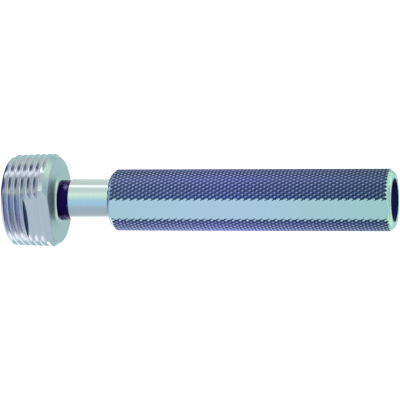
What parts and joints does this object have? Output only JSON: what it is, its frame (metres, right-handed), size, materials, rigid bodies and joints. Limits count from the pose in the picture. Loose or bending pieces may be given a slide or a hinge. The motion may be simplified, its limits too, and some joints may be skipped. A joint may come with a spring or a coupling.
{
  "type": "taper thread plug gauge",
  "caption": "Hand gauge for tapered pipe threads: threaded plug with a milled gauging step, ground shank, and a knurled tubular handle with a marking flat and an open tapered socket.",
  "frame": {"origin": "centre of the flat face at the small end of the tapered thread, on which the gauge stands", "axes": "+Z along the gauge's axis towards the open end of the handle; the milled gauging step faces -Y"},
  "size_m": [0.0335, 0.0333, 0.139],
  "materials": {
    "gauge_steel": "hardened tool steel, thread and shank ground bright, neck left dark from hardening",
    "handle_steel": "machined steel with a fine diamond knurl, smooth milled flat and turned end chamfers"
  },
  "bodies": {
    "root": {"gauge_member": "gauge_steel", "handle": "handle_steel"}
  },
  "joints": []
}
